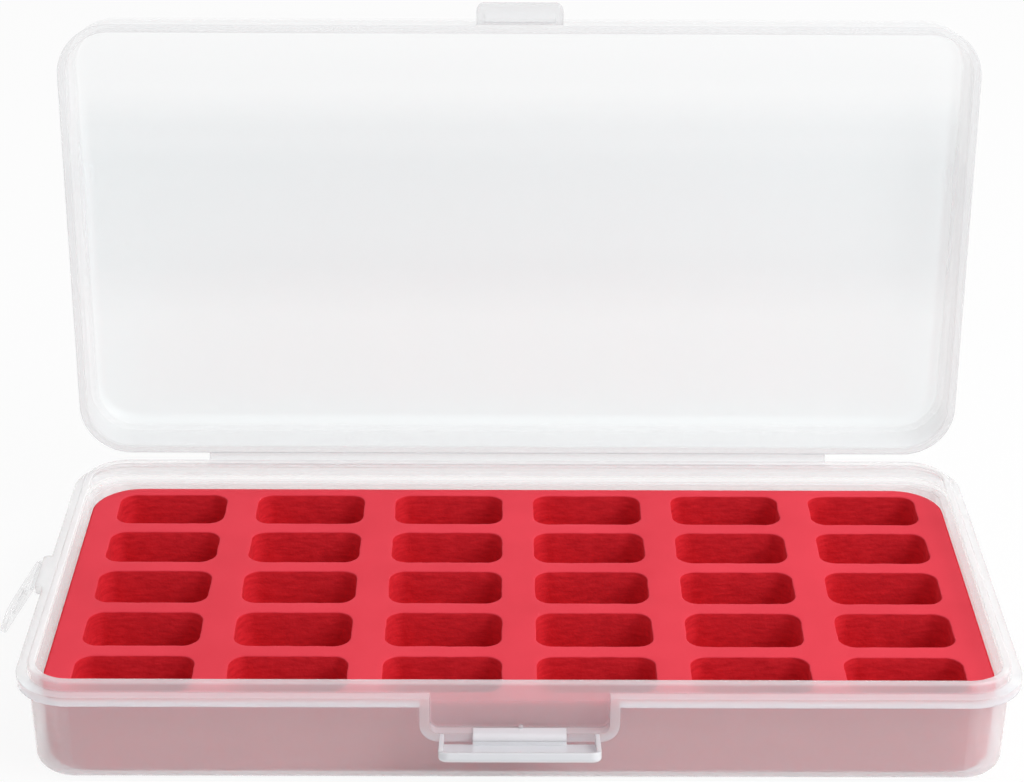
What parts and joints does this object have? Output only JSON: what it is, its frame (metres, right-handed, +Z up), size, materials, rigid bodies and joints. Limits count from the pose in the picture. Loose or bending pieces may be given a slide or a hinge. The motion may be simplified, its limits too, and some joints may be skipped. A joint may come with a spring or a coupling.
{
  "type": "bobbin storage case",
  "caption": "Hinged translucent plastic case with a foam insert slotted for sewing machine bobbins, a latch flap on the front edge and a hang tab on one side.",
  "frame": {"origin": "centre of the tray's underside", "axes": "+X along the case towards the side without the hang tab, +Y from the latch to the lid hinge, +Z up"},
  "size_m": [0.1828, 0.1142, 0.1122],
  "materials": {
    "case_plastic": "translucent natural polypropylene, satin",
    "foam": "closed-cell foam, matte, fine skin"
  },
  "bodies": {
    "tray": {"tray": "case_plastic", "foam_insert": "foam", "lid_hinge_tray_leaf": "case_plastic", "latch_hinge_film": "case_plastic", "hang_tab_hinge_film": "case_plastic"},
    "lid": {"lid": "case_plastic", "lid_hinge_lid_leaf": "case_plastic"},
    "latch": {"latch_flap": "case_plastic"},
    "hang_tab": {"hang_tab": "case_plastic"}
  },
  "joints": [
    {"name": "lid_hinge", "type": "hinge", "parent": "tray", "child": "lid", "pos_m": [0, 0.04559, 0.01845], "axis": [-1, 0, 0], "range_deg": [-91.2, 88.8]},
    {"name": "latch_hinge", "type": "hinge", "parent": "tray", "child": "latch", "pos_m": [0, -0.04519, 0.0111], "axis": [-1, 0, 0], "range_deg": [-25, 52.18]},
    {"name": "hang_tab_hinge", "type": "hinge", "parent": "tray", "child": "hang_tab", "pos_m": [-0.08905, 0, 0.01755], "axis": [0, 1, 0], "range_deg": [-32.5, 57.5]}
  ]
}
